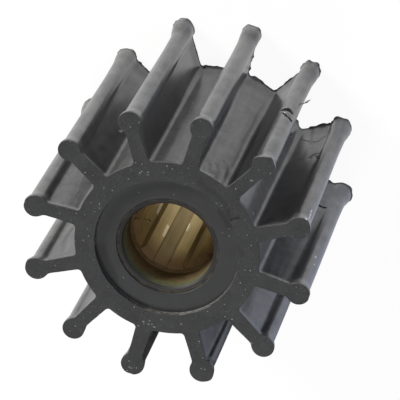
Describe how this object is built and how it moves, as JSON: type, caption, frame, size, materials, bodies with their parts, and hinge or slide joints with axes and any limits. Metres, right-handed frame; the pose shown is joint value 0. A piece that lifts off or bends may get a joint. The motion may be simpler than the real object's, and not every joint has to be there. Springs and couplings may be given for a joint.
{
  "type": "rubber pump impeller",
  "caption": "Flexible rubber vane wheel with rounded vane tips, moulded on a brass insert with a splined and counterbored shaft hole.",
  "frame": {"origin": "centre of the wheel's lower end, the one without the counterbore, on the shaft axis", "axes": "+Z along the shaft axis towards the counterbored end, one vane along +X"},
  "size_m": [0.065, 0.065, 0.052],
  "materials": {
    "black_rubber": "dark grey neoprene, matt on the ends and satin on the moulded sides",
    "brass": "machined, tarnished brown on the end faces"
  },
  "bodies": {
    "root": {"vane_wheel": "black_rubber", "splined_insert": "brass"}
  },
  "joints": []
}
